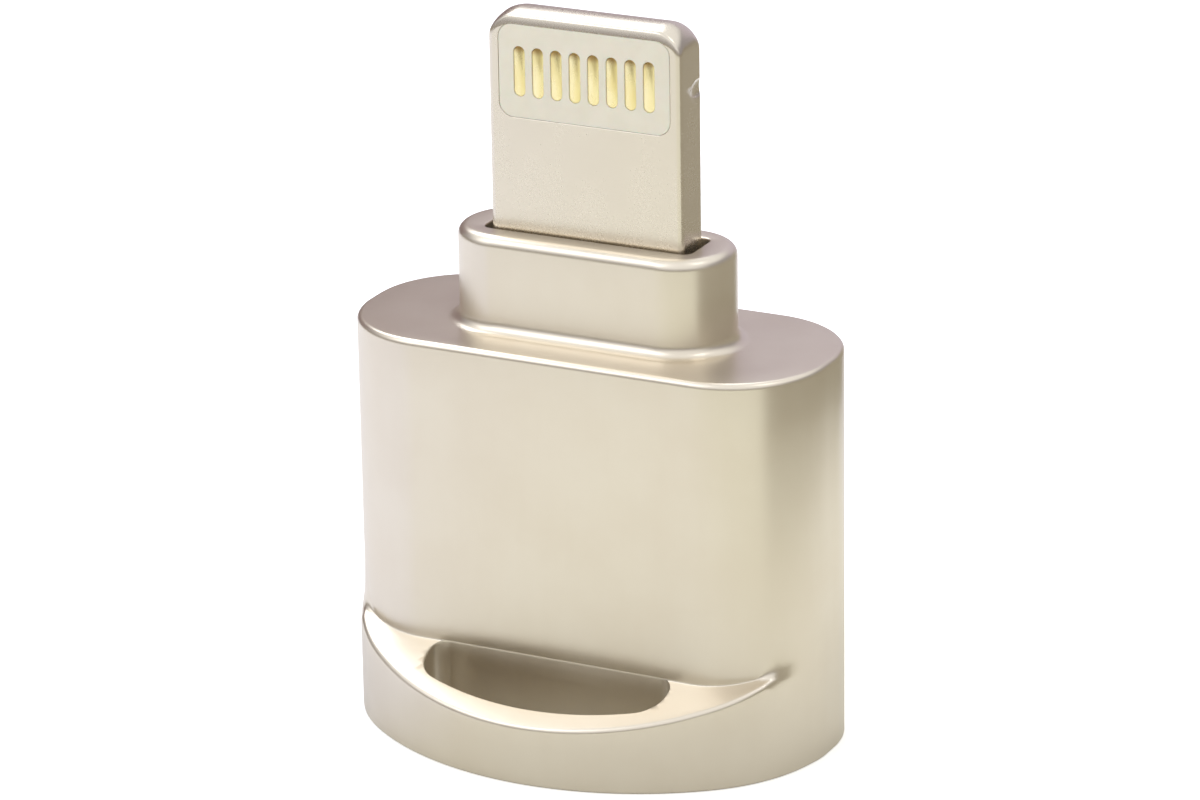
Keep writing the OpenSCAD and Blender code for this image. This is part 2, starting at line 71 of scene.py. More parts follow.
def to_circle(way, x, y, radius):
    """How far a ray from the axis goes to the far side of a circle."""
    near = way[0] * x + way[1] * y
    return near + sqrt(max(0.0, near * near - x * x - y * y + radius * radius))


def to_block(way, width, depth, corner):
    """How far a ray from the axis goes to a rounded rectangle."""
    x, y = abs(way[0]), abs(way[1])
    half_w, half_d = width / 2, depth / 2
    if y * half_w <= (half_d - corner) * x:
        return half_w / x
    if x * half_d <= (half_w - corner) * y:
        return half_d / y
    return to_circle((x, y), half_w - corner, half_d - corner, corner)


def to_lip(way, inset=0.0):
    """How far a ray from the axis goes to the lip's bowed outline."""
    x, y = abs(way[0]), way[1]
    rise = LIP_CORNER_Y + LIP_FRONT
    bow = (LIP_CORNER_X**2 + rise**2 - LIP_CORNER**2) / (2 * (rise - LIP_CORNER))
    bow_y = bow - LIP_FRONT
    if y < 0:
        far = to_circle((x, y), 0, bow_y, bow - inset)
        if x * far * (bow_y - LIP_CORNER_Y) <= LIP_CORNER_X * (bow_y - y * far):
            return far
        far = to_circle((x, y), LIP_CORNER_X, LIP_CORNER_Y, LIP_CORNER - inset)
        if y * far <= LIP_CORNER_Y:
            return far
    return (LIP_HALF_W - inset) / x


def bend(start, corner, end, steps):
    """Points on the arc that rounds a corner, both ends included."""
    a = Vector(corner) - Vector(start)
    b = Vector(end) - Vector(corner)
    weight = cos(a.angle(b) / 2)
    points = []
    for i in range(steps + 1):
        t = i / steps
        share = [(1 - t) ** 2, 2 * weight * t * (1 - t), t * t]
        total = sum(share)
        points.append(
            tuple(
                sum(s * p[k] for s, p in zip(share, (start, corner, end))) / total
                for k in range(2)
            )
        )
    return points


def round_corner(before, corner, after, size, steps):
    """A corner of a section, rounded from so far before it to so far after."""
    a = (Vector(before) - Vector(corner)).normalized()
    b = (Vector(after) - Vector(corner)).normalized()
    first, last = size if isinstance(size, tuple) else (size, size)
    start = Vector(corner) + a * first
    end = Vector(corner) + b * last
    return bend(tuple(start), tuple(corner), tuple(end), steps)


def relief(z):
    """How far the body's front is rounded in at a height."""
    fall = clamp(RELIEF_TOP - z, 0, RELIEF_R)
    return RELIEF_R - sqrt(RELIEF_R**2 - fall * fall)


def body_outline(way, z, share):
    """The body's outline at a height, rounded in by its share above the ledge."""
    inset = relief(z) * share
    return to_block(way, BODY_W - 2 * inset, BODY_D - 2 * inset, BODY_CORNER - inset)


def ledge_height(way, far):
    return LIP_H + (LIP_FRONT + min(way[1], 0) * far) * LEDGE_RISE


def ledge_turn(way, lip):
    """How far round the lip's front corner a ray passes, in degrees."""
    x, y = abs(way[0]) * lip - LIP_CORNER_X, LIP_CORNER_Y - way[1] * lip
    if x <= 0:
        return 0
    return 90 if y <= 0 else degrees(atan2(x, y))


def shell_section(way):
    """One upright strip of the shell, out along a ray: out and up, then in."""
    body = to_block(way, BODY_W, BODY_D, BODY_CORNER)
    lip = max(body, to_lip(way)) if way[1] * body < -1 else body
    # The ledge ends short of the wall in a round pocket end. Past it, the lip
    # and the body melt into one wall.
    turn = ledge_turn(way, lip)
    melt = ease((turn - POCKET_END) / 8)
    share = 1 - ease((turn - POCKET_END + 1) / 10)
    lip_z = min(ledge_height(way, lip), LIP_Z_MOST)
    back_z = min(ledge_height(way, body), WALL_FOOT_Z_MOST)
    back = body_outline(way, back_z, share)
    apart = 0.3 * melt
    low = (lip, lip_z - apart)
    high = (back, back_z + apart)
    span = hypot(low[0] - high[0], low[1] - high[1])
    lip_soft = LIP_ROUND + 0.75 * melt
    back_soft = WALL_FOOT_ROUND + 0.9 * melt
    dish = LEDGE_DISH * ease((turn - 18) / 20) * (1 - melt)
    collar = to_block(way, COLLAR_W, COLLAR_D, COLLAR_D / 2)
    foot = to_block(
        way,
        COLLAR_W + 2 * COLLAR_FOOT,
        COLLAR_D + 2 * COLLAR_FOOT,
        COLLAR_D / 2 + COLLAR_FOOT,
    )
    collar_lid = to_block(
        way,
        COLLAR_W - 2 * COLLAR_EDGE,
        COLLAR_D - 2 * COLLAR_EDGE,
        COLLAR_D / 2 - COLLAR_EDGE,
    )
    shoulder = to_block(
        way,
        BODY_W - 2 * SHOULDER_EDGE,
        BODY_D - 2 * SHOULDER_EDGE,
        BODY_CORNER - SHOULDER_EDGE,
    )
    slot = to_block(way, SLOT_W, SLOT_D, SLOT_CORNER)
    slot_lid = to_block(
        way, SLOT_W + 2 * SLOT_EDGE, SLOT_D + 2 * SLOT_EDGE, SLOT_CORNER + SLOT_EDGE
    )
    inside = to_block(
        way, BODY_W - 2 * WALL, BODY_D - 2 * WALL, BODY_CORNER - WALL
    )
    inside_collar = to_block(
        way,
        COLLAR_W - 2 * COLLAR_WALL,
        COLLAR_D - 2 * COLLAR_WALL,
        COLLAR_D / 2 - COLLAR_WALL,
    )
    floor_edge = max(lip - FOOT_EDGE, inside + 0.05)
    ceiling = BODY_H - SHOULDER_T
    collar_ceiling = COLLAR_TOP - COLLAR_TOP_T
    points = [(inside, 0.0)]
    points += bend((floor_edge, 0), (lip, 0), (lip, FOOT_EDGE), 4)
    face = low[1] - lip_soft - FOOT_EDGE
    points += [(lip, FOOT_EDGE + face * i / 4) for i in (1, 2, 3)]
    over = min(LIP_ROUND, 0.4 * span)
    points += round_corner((lip, 0), low, high, (lip_soft, over), 7)
    under = min(WALL_FOOT_ROUND + 0.2 * melt, 0.4 * span)
    for i in (1, 2, 3, 4, 5):
        t = (over + (span - over - under) * i / 6) / span
        sunk = dish * sin(pi * i / 6) ** 2
        points.append(
            (low[0] + (high[0] - low[0]) * t, low[1] + (high[1] - low[1]) * t - sunk)
        )
    wall_at = high[1] + back_soft
    up = (body_outline(way, wall_at, share), wall_at)
    points += round_corner(low, high, up, (under, hypot(up[0] - back, back_soft)), 7)
    for i in range(1, 13):
        z = wall_at + (WALL_CLEAR - wall_at) * (i / 12) ** 1.3
        points.append((body_outline(way, z, share), z))
    shoulder_from = BODY_H - SHOULDER_EDGE
    face = shoulder_from - WALL_CLEAR
    points += [(body, WALL_CLEAR + face * i / 4) for i in (1, 2, 3)]
    points += bend((body, shoulder_from), (body, BODY_H), (shoulder, BODY_H), 7)
    points.append((shoulder * 0.6 + foot * 0.4, BODY_H))
    points += bend((foot, BODY_H), (collar, BODY_H), (collar, BODY_H + COLLAR_FOOT), 7)
    points.append((collar, (BODY_H + COLLAR_FOOT + COLLAR_TOP - COLLAR_EDGE) / 2))
    points += bend(
        (collar, COLLAR_TOP - COLLAR_EDGE),
        (collar, COLLAR_TOP),
        (collar_lid, COLLAR_TOP),
        9,
    )
    points += bend(
        (slot_lid, COLLAR_TOP), (slot, COLLAR_TOP), (slot, COLLAR_TOP - SLOT_EDGE), 3
    )
    points += [
        (slot, collar_ceiling),
        (inside_collar, collar_ceiling),
        (inside_collar, ceiling),
        (inside, ceiling),
        (inside, 2.0),
    ]
    return points


def ways_round(count, width, depth, corner):
    """Directions from the axis to points that lie evenly along an outline."""
    fine = 40
    path = []
    for i in range(count * fine):
        a = 2 * pi * i / (count * fine)
        far = to_block((cos(a), sin(a)), width, depth, corner)
        path.append((cos(a) * far, sin(a) * far))
    total, lengths = 0.0, []
    for here, there in zip(path, path[1:] + path[:1]):
        lengths.append(total)
        total += hypot(there[0] - here[0], there[1] - here[1])
    ways, k = [], 0
    for i in range(count):
        while k + 1 < len(lengths) and lengths[k + 1] <= total * i / count:
            k += 1
        long = hypot(*path[k])
        ways.append((path[k][0] / long, path[k][1] / long))
    return ways


def chain(mesh, rings, closed=False):
    """Extrudes a ring of edges through a row of places, all with one count."""
    count = len(rings[0])
    made = bmesh.ops.create_circle(mesh, segments=count, radius=1)
    verts = sorted(made["verts"], key=lambda v: v.index)
    mesh.edges.index_update()
    edges = list({e for v in verts for e in v.link_edges})
    for vert, place in zip(verts, rings[0]):
        vert.co = place
    first = edges
    for ring in rings[1:]:
        made = bmesh.ops.extrude_edge_only(mesh, edges=edges)["geom"]
        links = {}
        edges = [e for e in made if isinstance(e, bmesh.types.BMEdge)]
        fresh = {v for v in made if isinstance(v, bmesh.types.BMVert)}
        for old in verts:
            for e in old.link_edges:
                other = e.other_vert(old)
                if other in fresh:
                    links[old] = other
        verts = [links[v] for v in verts]
        edges = [e for e in edges if e.verts[0] in fresh and e.verts[1] in fresh]
        for vert, place in zip(verts, ring):
            vert.co = place
    if closed:
        bmesh.ops.bridge_loops(mesh, edges=first + edges)
    return first, edges


def make_piece(name, mesh, sharp=40):
    """A bmesh in millimetres becomes a piece in metres, smooth up to an angle."""
    bmesh.ops.recalc_face_normals(mesh, faces=mesh.faces)
    bmesh.ops.scale(mesh, vec=(0.001, 0.001, 0.001), verts=mesh.verts)
    data = bpy.data.meshes.new(name)
    mesh.to_mesh(data)
    mesh.free()
    data.shade_smooth()
    data.set_sharp_from_angle(angle=radians(sharp))
    piece = bpy.data.objects.new(name, data)
    bpy.context.scene.collection.objects.link(piece)
    return piece


def cut(piece, tool, how="DIFFERENCE"):
    """Takes one closed mesh away from another for good, or joins the two."""
    change = piece.modifiers.new("cut", "BOOLEAN")
    change.operation, change.solver, change.object = how, "MANIFOLD", tool
    graph = bpy.context.evaluated_depsgraph_get()
    result = bpy.data.meshes.new_from_object(piece.evaluated_get(graph))
    piece.modifiers.clear()
    piece.data = result
    bpy.data.objects.remove(tool)


def smooth_again(piece, sharp=38):
    """Shades a cut piece smooth, with flat faces kept flat."""
    piece.data.shade_smooth()
    piece.data.set_sharp_from_angle(angle=radians(sharp))
    even = piece.modifiers.new("even", "WEIGHTED_NORMAL")
    even.keep_sharp = True


ways = ways_round(COLUMNS, BODY_W, BODY_D, BODY_CORNER)
strips = [shell_section(way) for way in ways]
mesh = bmesh.new()
chain(
    mesh,
    [
        [(way[0] * far, way[1] * far, z) for way, (far, z) in zip(ways, ring)]
        for ring in zip(*strips)
    ],
    closed=True,
)
shell = make_piece("shell_body", mesh)

# The lanyard hole goes straight down through the lip, its edges just broken.
HOLE_W, HOLE_FRONT, HOLE_BACK = 8.4, -5.64, -3.43
HOLE_CORNER, HOLE_CORNER_Y, HOLE_BACK_CORNER = 1.05, -4.03, 0.5
HOLE_EDGE = 0.1


def hole_outline(grow):
    """The hole's outline: a straight back, and a front that bows forward."""
    corner_x = HOLE_W / 2 - HOLE_CORNER
    rise = HOLE_CORNER_Y - HOLE_FRONT
    bow = (corner_x**2 + rise**2 - HOLE_CORNER**2) / (2 * (rise - HOLE_CORNER))
    bow_y = HOLE_FRONT + bow
    side = HOLE_W / 2 - HOLE_BACK_CORNER
    half_turn = pi / 2
    lean = Vector((corner_x, HOLE_CORNER_Y - bow_y)).angle(Vector((0, -1)))
    arcs = [
        (side, HOLE_BACK - HOLE_BACK_CORNER, HOLE_BACK_CORNER + grow, half_turn, 0, 8),
        (corner_x, HOLE_CORNER_Y, HOLE_CORNER + grow, 0, lean - half_turn, 12),
        (0, bow_y, bow + grow, lean - half_turn, -lean - half_turn, 40),
        (-corner_x, HOLE_CORNER_Y, HOLE_CORNER + grow, -lean - half_turn, -pi, 12),
        (-side, HOLE_BACK - HOLE_BACK_CORNER, HOLE_BACK_CORNER + grow, pi, half_turn, 8),
    ]
    places = []
    for x, y, radius, start, end, steps in arcs:
        for i in range(steps):
            a = start + (end - start) * i / (steps - 1)
            here = (x + radius * cos(a), y + radius * sin(a))
            if i or not places:
                places.append(here)
    return places


mesh = bmesh.new()
flare = [(0.0, 1.0), (0.06, 0.66), (0.22, 0.375), (0.5, 0.134), (1.0, 0.0)]
levels = [(HOLE_EDGE, None, -0.4)]
levels += [(HOLE_EDGE * out, None, HOLE_EDGE * down) for down, out in flare]
levels += [(HOLE_EDGE * out, HOLE_EDGE * down, None) for down, out in reversed(flare)]
levels += [(HOLE_EDGE, -0.03, None)]
rings = []
for grow, below_ledge, up in levels:
    ring = []
    for (x, y), (wide_x, wide_y) in zip(hole_outline(0), hole_outline(HOLE_EDGE)):
        share = (0.12 + 0.88 * ease((HOLE_BACK - y) / 0.7)) * grow / HOLE_EDGE
        x, y = x + (wide_x - x) * share, y + (wide_y - y) * share
        z = up if below_ledge is None else LIP_H + (LIP_FRONT + y) * LEDGE_RISE - below_ledge
        ring.append((x, y, z))
    rings.append(ring)
ends = chain(mesh, rings)
for end in ends:
    bmesh.ops.contextual_create(mesh, geom=end)
cut(shell, make_piece("hole_cutter", mesh))
smooth_again(shell)


class Wire:
    """An output of a shader node. Arithmetic on it adds Math nodes."""

    def __init__(self, tree, socket=None):
        self.tree, self.socket = tree, socket

    def add(self, kind, settings=None, inputs=None, output=0):
        node = self.tree.nodes.new("ShaderNode" + kind)
        for name, value in (settings or {}).items():
            if name == "stops":
                ramp = node.color_ramp
                while len(ramp.elements) < len(value):
                    ramp.elements.new(0.5)
                for element, (place, colour) in zip(ramp.elements, value):
                    element.position, element.color = place, colour
            else:
                setattr(node, name, value)
        for name, value in (inputs or {}).items():
            if isinstance(value, Wire):
                self.tree.links.new(value.socket, node.inputs[name])
            else:
                node.inputs[name].default_value = value
        return Wire(self.tree, node.outputs[output])

    def maths(self, operation, *values):
        return self.add(
            "Math", {"operation": operation}, dict(enumerate((self, *values)))
        )

    def __add__(self, other):
        return self.maths("ADD", other)

    __radd__ = __add__

    def __mul__(self, other):
        return self.maths("MULTIPLY", other)

    __rmul__ = __mul__

    def __sub__(self, other):
        return self.maths("SUBTRACT", other)

    def __rsub__(self, other):
        return (self * -1) + other

    def noise(self, scale, detail=2.0, stretch=(1, 1, 1), roughness=0.5):
        """Noise on this vector, as a value near 0.5. Scale is per millimetre."""
        place = self.add(
            "Mapping", {}, {"Vector": self, "Scale": [1000 * s for s in stretch]}
        )
        return self.add(
            "TexNoise",
            {},
            {"Vector": place, "Scale": scale, "Detail": detail, "Roughness": roughness},
        )

    def between(self, low, high):
        """This value, spread so that low becomes 0 and high becomes 1."""
        return self.add(
            "MapRange",
            {"interpolation_type": "SMOOTHSTEP"},
            {"Value": self, "From Min": low, "From Max": high},
        )

    def mix(self, first, second):
        """Two colours, mixed by this value."""
        return self.add(
            "Mix", {"data_type": "RGBA"}, {0: self, 6: first, 7: second}, output=2
        )


def linear(red, green, blue):
    """A colour given as on a screen, 0 to 255, as the shader wants it."""
    shares = [v / 255 for v in (red, green, blue)]
    return (
        *[v / 12.92 if v <= 0.04045 else ((v + 0.055) / 1.055) ** 2.4 for v in shares],
        1.0,
    )


def new_material(name, piece, metallic=0.0, roughness=0.5):
    """An empty finish on a piece. Gives its shader and its object coordinates."""
    material = bpy.data.materials.new(name)
    material.use_nodes = True
    tree = material.node_tree
    shader = tree.nodes["Principled BSDF"]
    shader.inputs["Metallic"].default_value = metallic
    shader.inputs["Roughness"].default_value = roughness
    if not piece.material_slots:
        piece.data.materials.append(material)
    for finish in piece.material_slots:
        finish.material = material
    return shader, Wire(tree).add("TexCoord", output=3)


def feed(shader, socket, value):
    """Gives a socket of a shader a value or a wire."""
    if isinstance(value, Wire):
        value.tree.links.new(value.socket, shader.inputs[socket])
    else:
        shader.inputs[socket].default_value = value


def press(shader, height, strength, depth):
    """Presses a relief into a surface, from a height. The depth is in metres."""
    bump = {"Strength": strength, "Distance": depth, "Height": height}
    feed(shader, "Normal", height.add("Bump", {}, bump))


def champagne_metal(name, piece, colour, deeper, roughness, grain):
    """Blasted and anodised metal: fine pits, faint clouds, a few duller spots."""
    shader, place = new_material(name, piece, metallic=1.0)
    clouds = place.noise(0.35, detail=3)
    streaks = place.noise(1.6, detail=2, stretch=(1, 1, 0.12))
    grit = place.noise(18, detail=3)
    shade = (clouds * 0.8 + streaks * 0.2).between(0.3, 0.7)
    feed(shader, "Base Color", shade.mix(deeper, colour))
    spread = streaks * 0.02 + (grit * 0.03 + (roughness - 0.05))
    feed(shader, "Roughness", clouds * 0.05 + spread)
    press(shader, place.noise(26, detail=2), grain, 0.000002)


champagne_metal(
    "champagne_anodised", shell, linear(229, 221, 207), linear(225, 216, 201), 0.31, 0.25
)
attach(shell, "root")
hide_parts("shell")

# ---------------------------------------------------------------- plug frame
# The plug's metal tab with its window, rounded nose and side dimples, on a
# flange that is trapped under the collar's roof. One sintered piece of steel,
# polished and plated in the body's colour. It is dropped in from below.

TAB_W, TAB_D, TAB_FOOT, TIP, NOSE_CORNER, TAB_EDGE = 6.65, 1.5, 14.0, 23.3, 0.9, 0.18
# How far below the tip, and how far back from the face, the nose's profile runs:
# a steep narrow bevel first, then a low crown.
NOSE = [(0.41, 0), (0.40, 0.001), (0.2, 0.045), (0.145, 0.08)]
NOSE += [(0.108, 0.18), (0.065, 0.33), (0.026, 0.52), (0, 0.74)]
WINDOW_W, WINDOW_H, WINDOW_Z, WINDOW_CORNER = 5.9, 3.02, 21.38, 0.48
CHANNEL_W, CHANNEL_D, WINDOW_TOP = 5.1, 0.8, 22.89
FLANGE_W, FLANGE_D, FLANGE_FOOT, FLANGE_H = 7.94, 2.24, 13.6, 1.8
DIMPLE_Y, DIMPLE_Z, DIMPLE_DEPTH, DIMPLE_HALF = 0.5, 21.17, 0.1, (0.62, 0.31)


def arc(x, y, radius, start, end, steps):
    """Points on an arc, angles in degrees."""
    return [
        (
            x + radius * cos(radians(start + (end - start) * i / steps)),
            y + radius * sin(radians(start + (end - start) * i / steps)),
        )
        for i in range(steps + 1)
    ]


def rounded_rectangle(width, depth, corner, steps=10, middle=(0, 0)):
    """The outline of a rounded rectangle, counter-clockwise."""
    x, y = width / 2 - corner, depth / 2 - corner
    points = []
    for side_x, side_y, start in ((1, -1, -90), (1, 1, 0), (-1, 1, 90), (-1, -1, 180)):
        points += arc(side_x * x, side_y * y, corner, start, start + 90, steps)
    kept = []
    for px, py in points:
        if not kept or hypot(px - kept[-1][0], py - kept[-1][1]) > 1e-5:
            kept.append((px, py))
    return [(px + middle[0], py + middle[1]) for px, py in kept]


def grown(outline, size):
    """An outline moved out by so much, along its own corners."""
    moved = []
    for i, here in enumerate(outline):
        a = (Vector(here) - Vector(outline[i - 1])).normalized()
        b = (Vector(outline[(i + 1) % len(outline)]) - Vector(here)).normalized()
        out = (a + b).normalized()
        moved.append((here[0] + out.y * size, here[1] - out.x * size))
    return moved


def block(mesh, levels, axis="z"):
    """A closed block through outlines at levels, capped at both ends."""
    rings = []
    for level, shape in levels:
        if axis == "z":
            rings.append([(x, y, level) for x, y in shape])
        else:
            rings.append([(x, level, z) for x, z in shape])
    for end in chain(mesh, rings):
        bmesh.ops.contextual_create(mesh, geom=end)


side = TAB_W / 2
high = TIP - NOSE_CORNER
outline = [((side, TAB_FOOT + (high - TAB_FOOT) * i / 8), (1, 0)) for i in range(8)]
for angle in range(0, 91, 5):
    way = (cos(radians(angle)), sin(radians(angle)))
    outline.append(
        ((side - NOSE_CORNER + NOSE_CORNER * way[0], high + NOSE_CORNER * way[1]), way)
    )
flat = side - NOSE_CORNER
outline += [((flat * (1 - i / 4), TIP), (0, 1)) for i in (1, 2, 3)]
outline.append(((0.0, TIP), (0, 1)))
outline += [((-x, z), (-u, w)) for (x, z), (u, w) in reversed(outline[:-1])]

steps = 7
round_side = bend((TAB_EDGE, 0), (0, 0), (0, TAB_EDGE), steps)
rings = []
for turn_back in (False, True):
    order = range(steps + 1) if not turn_back else range(steps, -1, -1)
    for k in order:
        ring = []
        for (x, z), (u, w) in outline:
            share = ease(w)
            inset = round_side[k][0] * (1 - share) + NOSE[k][0] * share
            sunk = round_side[k][1] * (1 - share) + NOSE[k][1] * share
            y = TAB_D / 2 - sunk
            ring.append((x - u * inset, y if turn_back else -y, z - w * inset))
        rings.append(ring)
mesh = bmesh.new()
for end in chain(mesh, rings):
    bmesh.ops.contextual_create(mesh, geom=end)
plug = make_piece("plug_tab", mesh)

mesh = bmesh.new()
oval = rounded_rectangle(FLANGE_W, FLANGE_D, FLANGE_D / 2 - 0.001)
block(
    mesh,
    [
        (FLANGE_FOOT, grown(oval, -0.08)),
        (FLANGE_FOOT + 0.08, oval),
        (FLANGE_FOOT + FLANGE_H - 0.08, oval),
        (FLANGE_FOOT + FLANGE_H, grown(oval, -0.08)),
    ],
)
cut(plug, make_piece("flange", mesh), "UNION")
mesh = bmesh.new()
channel = rounded_rectangle(CHANNEL_W, CHANNEL_D, 0.1, 3)
block(mesh, [(FLANGE_FOOT - 1, channel), (WINDOW_TOP, channel)])
cut(plug, make_piece("channel", mesh))
window = rounded_rectangle(WINDOW_W, WINDOW_H, WINDOW_CORNER, 12, (0, WINDOW_Z))
mesh = bmesh.new()
levels = [(-TAB_D / 2 - 0.3, grown(window, 0.05))]
levels += [(0.012 - TAB_D / 2 - out, grown(window, out)) for out in (0.012, 0.005, 0.0)]
levels += [(-y, outline_at) for y, outline_at in reversed(levels)]
block(mesh, levels, axis="y")
cut(plug, make_piece("window", mesh))
for way in (-1, 1):
    # Each dimple is a shallow scoop, wider up the tab than across its side.
    mesh = bmesh.new()
    bmesh.ops.create_uvsphere(mesh, u_segments=64, v_segments=40, radius=1)
    reach = 0.55
    half_y, half_z = DIMPLE_HALF
    scale_out = 1 / sqrt(1 - (1 - DIMPLE_DEPTH / reach) ** 2)
    bmesh.ops.scale(
        mesh, vec=(reach, half_y * scale_out, half_z * scale_out), verts=mesh.verts
    )
    bmesh.ops.translate(
        mesh,
        vec=(way * (side + reach - DIMPLE_DEPTH), DIMPLE_Y, DIMPLE_Z),
        verts=mesh.verts,
    )
    cut(plug, make_piece("dimple", mesh))
smooth_again(plug, 42)
champagne_metal(
    "champagne_plated", plug, linear(229, 221, 207), linear(225, 217, 203), 0.27, 0.03
)
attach(plug, "root")
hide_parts("plug_frame")

# ---------------------------------------------------------------- contact rows
# A cream insulator moulded into each window, with eight gilded contacts that
# lie just below its face. Each row is soldered to one side of the plug's board.

CARRIER_GAP, CARRIER_FACE, CARRIER_BACK, CARRIER_EDGE = 0.008, 0.744, 0.25, 0.02
PADS, PAD_PITCH, PAD_W, PAD_H, PAD_Z, PAD_FACE = 8, 0.637, 0.39, 1.62, 21.37, 0.715


def pad_outline(index, width, height):
    x = (index - (PADS - 1) / 2) * PAD_PITCH
    return rounded_rectangle(width, height, width / 2 - 0.0005, 8, (x, PAD_Z))


for side_name, facing in (("front", -1), ("back", 1)):
    face = rounded_rectangle(
        WINDOW_W - 2 * CARRIER_GAP,
        WINDOW_H - 2 * CARRIER_GAP,
        WINDOW_CORNER - CARRIER_GAP,
        12,
        (0, WINDOW_Z),
    )
    mesh = bmesh.new()
    levels = [
        (facing * CARRIER_BACK, face),
        (facing * (CARRIER_FACE - CARRIER_EDGE), face),
        (facing * (CARRIER_FACE - 0.3 * CARRIER_EDGE), grown(face, -0.3 * CARRIER_EDGE)),
        (facing * CARRIER_FACE, grown(face, -CARRIER_EDGE)),
    ]
    block(mesh, levels, axis="y")
    carrier = make_piece(side_name + "_insulator", mesh)
    mesh = bmesh.new()
    for i in range(PADS):
        hole = pad_outline(i, PAD_W, PAD_H)
        block(
            mesh,
            [
                (facing * (CARRIER_BACK - 0.1), hole),
                (facing * (CARRIER_FACE - 0.02), hole),
                (facing * (CARRIER_FACE + 0.002), grown(hole, 0.016)),
                (facing * (CARRIER_FACE + 0.1), grown(hole, 0.016)),
            ],
            axis="y",
        )
    cut(carrier, make_piece("pad_holes", mesh))
    smooth_again(carrier, 35)
    shader, place = new_material(side_name + "_cream_plastic", carrier, roughness=0.42)
    mottle = place.noise(1.2, detail=3)
    feed(
        shader,
        "Base Color",
        mottle.between(0.3, 0.7).mix(linear(243, 237, 222), linear(239, 233, 217)),
    )
    feed(shader, "Roughness", mottle * 0.12 + 0.36)
    grain = place.noise(30, detail=2)
    press(shader, grain, 0.1, 0.000003)
    shader.inputs["Subsurface Weight"].default_value = 0.15
    shader.inputs["Subsurface Scale"].default_value = 0.0002
    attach(carrier, "root")
    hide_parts(side_name + "_contact_carrier")

    mesh = bmesh.new()
    for i in range(PADS):
        block(
            mesh,
            [
                (facing * CARRIER_BACK, pad_outline(i, PAD_W - 0.01, PAD_H - 0.01)),
                (facing * (PAD_FACE - 0.02), pad_outline(i, PAD_W - 0.01, PAD_H - 0.01)),
                (facing * (PAD_FACE - 0.006), pad_outline(i, PAD_W - 0.02, PAD_H - 0.02)),
                (facing * PAD_FACE, pad_outline(i, PAD_W - 0.05, PAD_H - 0.05)),
            ],
            axis="y",
        )
    pads = make_piece(side_name + "_pads", mesh, sharp=60)
    shader, place = new_material(side_name + "_contact_gilding", pads, metallic=1.0)
    wear = place.noise(2.5, detail=3, stretch=(1, 1, 0.35))
    gold = wear.between(0.3, 0.75).mix(linear(252, 240, 188), linear(246, 230, 166))
    up = place.add("SeparateXYZ", {}, {"Vector": place}, output=2)
    # Painted shade: the pads' top ends turn brown, standing in for the shadow of the recess
    # above them.
    painted_recess_shade = (up + wear * 0.0002).between(0.02200, 0.02226)
    feed(shader, "Base Color", painted_recess_shade.mix(gold, linear(196, 164, 104)))
    feed(shader, "Roughness", wear * 0.15 + 0.2)
    scratch = place.noise(40, detail=2, stretch=(1, 1, 0.05))
    press(shader, scratch, 0.15, 0.000002)
    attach(pads, "root")
    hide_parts(side_name + "_contacts")

# ---------------------------------------------------------------- boards
# The plug's thin board carries both contact rows, and the main board carries
# the chips on its front and the card socket on its back. Glass fibre with a
# green lacquer over etched copper.

for name, tracks in (("plug_board", 2.2), ("main_board", 1.1)):
    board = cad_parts[name]
    shader, place = new_material(name + "_lacquer", board, roughness=0.3)
    across = place.noise(tracks, detail=1, stretch=(0.15, 1, 1)).between(0.52, 0.54)
    up = place.noise(tracks, detail=1, stretch=(1, 1, 0.15)).between(0.54, 0.56)
    copper = across.maths("MAXIMUM", up)
    feed(shader, "Base Color", copper.mix(linear(18, 84, 56), linear(36, 116, 74)))
    feed(shader, "Roughness", copper * -0.06 + 0.34)
    weave = place.noise(9, detail=1)
    raised = copper + weave * 0.15
    press(shader, raised, 0.6, 0.00002)

# ---------------------------------------------------------------- chips
# Controller, bridge, memory and regulator: black moulded epoxy with a matt,
# finely grained top. They are soldered to the front of the main board.

for name, shade in (
    ("controller_chip", 26),
    ("bridge_chip", 30),
    ("memory_chip", 28),
    ("voltage_regulator", 32),
):
    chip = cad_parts[name]
    shader, place = new_material(name + "_epoxy", chip)
    grain = place.noise(14, detail=3)
    feed(
        shader,
        "Base Color",
        grain.between(0.3, 0.7).mix(
            linear(shade, shade, shade), linear(shade + 14, shade + 14, shade + 15)
        ),
    )
    feed(shader, "Roughness", grain * 0.25 + 0.45)
    press(shader, grain, 0.4, 0.000008)

# ---------------------------------------------------------------- small parts
# The crystal's drawn steel lid, the inductor's ferrite core, six ceramic
# capacitors and six film resistors with tinned ends, all soldered in place.

shader, place = new_material("crystal_lid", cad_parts["crystal"], metallic=1.0)
drawn = place.noise(5, detail=3, stretch=(1, 1, 0.2))
feed(shader, "Base Color", drawn.mix(linear(186, 182, 172), linear(214, 210, 200)))
feed(shader, "Roughness", drawn * 0.2 + 0.22)

shader, place = new_material("inductor_ferrite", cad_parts["inductor"])
pores = place.noise(10, detail=4)
ferrite = pores.between(0.35, 0.65).mix(linear(44, 43, 44), linear(84, 82, 82))
feed(shader, "Base Color", ferrite)
feed(shader, "Roughness", pores * 0.2 + 0.6)
press(shader, pores, 0.5, 0.00001)

for name, body, axis, middle, tinned in (
    ("capacitors", (176, 142, 104), 2, 0.01105, 0.00025),
    ("resistors", (34, 34, 38), 0, 0.0049, 0.00025),
):
    shader, place = new_material(name + "_ceramic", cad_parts[name])
    along = place.add("SeparateXYZ", {}, {"Vector": place}, output=axis)
    ends = (along - middle).maths("ABSOLUTE").maths("GREATER_THAN", tinned)
    speck = place.noise(12, detail=3)
    ceramic = speck.mix(linear(*body), linear(*[v * 0.8 for v in body]))
    feed(shader, "Base Color", ends.mix(ceramic, linear(205, 203, 198)))
    feed(shader, "Metallic", ends)
    feed(shader, "Roughness", ends * -0.2 + speck * 0.15 + 0.45)

